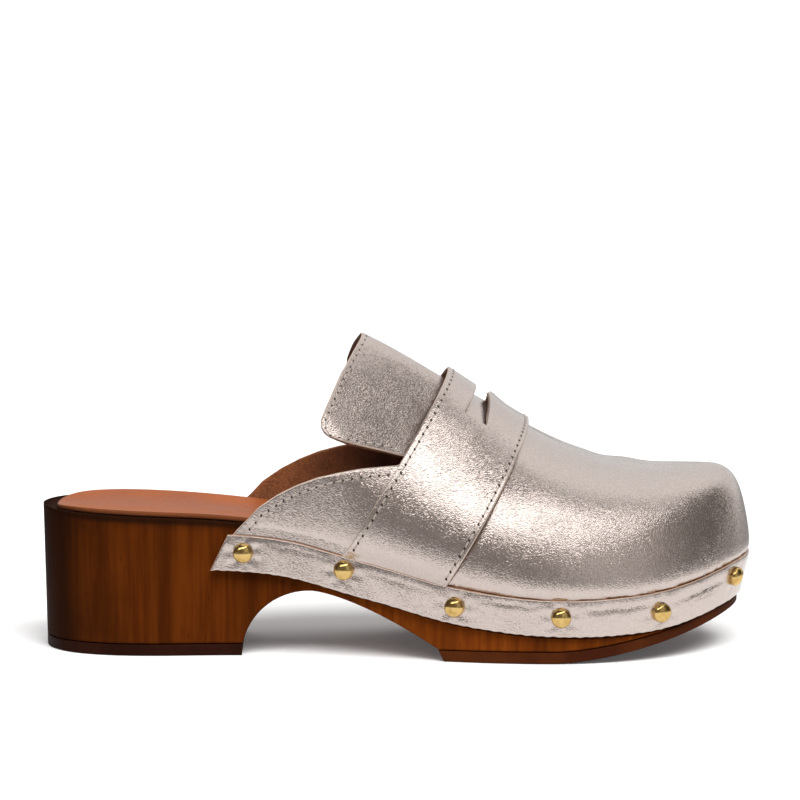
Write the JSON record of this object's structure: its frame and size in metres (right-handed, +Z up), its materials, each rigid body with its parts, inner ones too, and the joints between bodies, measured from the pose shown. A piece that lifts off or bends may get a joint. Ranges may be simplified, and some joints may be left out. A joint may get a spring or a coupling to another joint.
{
  "type": "clog mule",
  "caption": "Right-foot clog mule: open-backed metallic leather upper with a tongue flap and slotted saddle strap, nailed round a carved wooden sole with a block heel.",
  "frame": {"origin": "plan centre of the shoe's bounding box, on the floor", "axes": "+X towards the toe, +Y towards the inner side of the foot, +Z up"},
  "size_m": [0.2528, 0.1064, 0.1117],
  "materials": {
    "wood": "dark red-brown varnish, satin",
    "heel_rubber": "matt near-black brown",
    "sole_rubber": "matt dark red-brown",
    "gold_leather": "pale champagne-gold foil over fine pebble grain",
    "insole_leather": "smooth cognac, satin",
    "brass": "polished"
  },
  "bodies": {
    "root": {"wood_sole": "wood", "heel_top_piece": "heel_rubber", "forefoot_outsole": "sole_rubber", "insole": "insole_leather", "upper": "gold_leather", "tongue": "gold_leather", "saddle_strap": "gold_leather", "rand": "gold_leather", "stud_outer_1": "brass", "stud_outer_2": "brass", "stud_outer_3": "brass", "stud_outer_4": "brass", "stud_outer_5": "brass", "stud_outer_6": "brass", "stud_inner_1": "brass", "stud_inner_2": "brass", "stud_inner_3": "brass", "stud_inner_4": "brass", "stud_inner_5": "brass", "stud_inner_6": "brass"}
  },
  "joints": []
}
